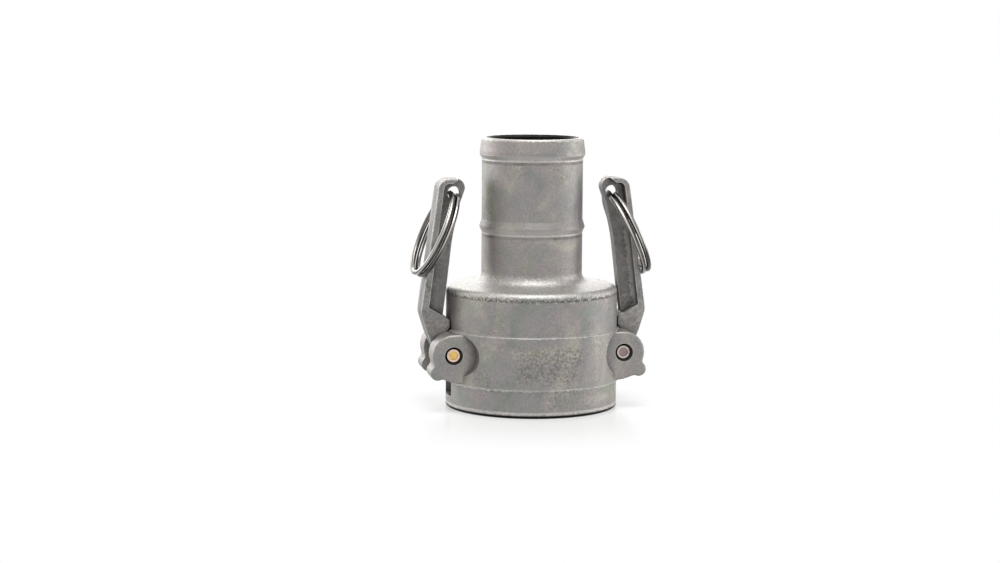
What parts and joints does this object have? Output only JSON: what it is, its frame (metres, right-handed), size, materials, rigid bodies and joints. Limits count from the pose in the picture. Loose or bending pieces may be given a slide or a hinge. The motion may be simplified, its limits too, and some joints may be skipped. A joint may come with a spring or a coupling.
{
  "type": "cam lever hose coupling",
  "caption": "Cast steel cam-lever hose coupling: a socket with a sealing ring, swinging cam levers with pull rings, and a barbed hose shank.",
  "frame": {"origin": "centre of the socket's mouth, on the plane the coupling stands on", "axes": "+Z along the bore from the mouth to the hose end, the levers on +X and -X, the pins along Y"},
  "size_m": [0.0941, 0.0688, 0.105],
  "materials": {
    "cast_body": "satin, bead blasted casting skin",
    "cast_lever": "satin, bead blasted casting skin",
    "pin_steel": "turned, semi-bright",
    "ring_steel": "drawn wire, semi-bright",
    "gasket_rubber": "matte"
  },
  "bodies": {
    "housing": {"body": "cast_body", "gasket": "gasket_rubber", "left_pin": "pin_steel", "right_pin": "pin_steel"},
    "left_lever": {"left_lever": "cast_lever"},
    "right_lever": {"right_lever": "cast_lever"},
    "left_ring": {"left_pull_ring": "ring_steel"},
    "right_ring": {"right_pull_ring": "ring_steel"}
  },
  "joints": [
    {"name": "right_lever_hinge", "type": "hinge", "parent": "housing", "child": "right_lever", "pos_m": [0.0334, 0, 0.0224], "axis": [0, 1, 0], "range_deg": [0, 95]},
    {"name": "left_lever_hinge", "type": "hinge", "parent": "housing", "child": "left_lever", "pos_m": [-0.0334, 0, 0.0224], "axis": [0, -1, 0], "range_deg": [0, 95]},
    {"name": "right_ring_swing", "type": "hinge", "parent": "right_lever", "child": "right_ring", "pos_m": [0.0312, 0, 0.0837], "axis": [0, -1, 0], "range_deg": [0, 150]},
    {"name": "left_ring_swing", "type": "hinge", "parent": "left_lever", "child": "left_ring", "pos_m": [-0.0312, 0, 0.0837], "axis": [0, 1, 0], "range_deg": [0, 150]}
  ]
}
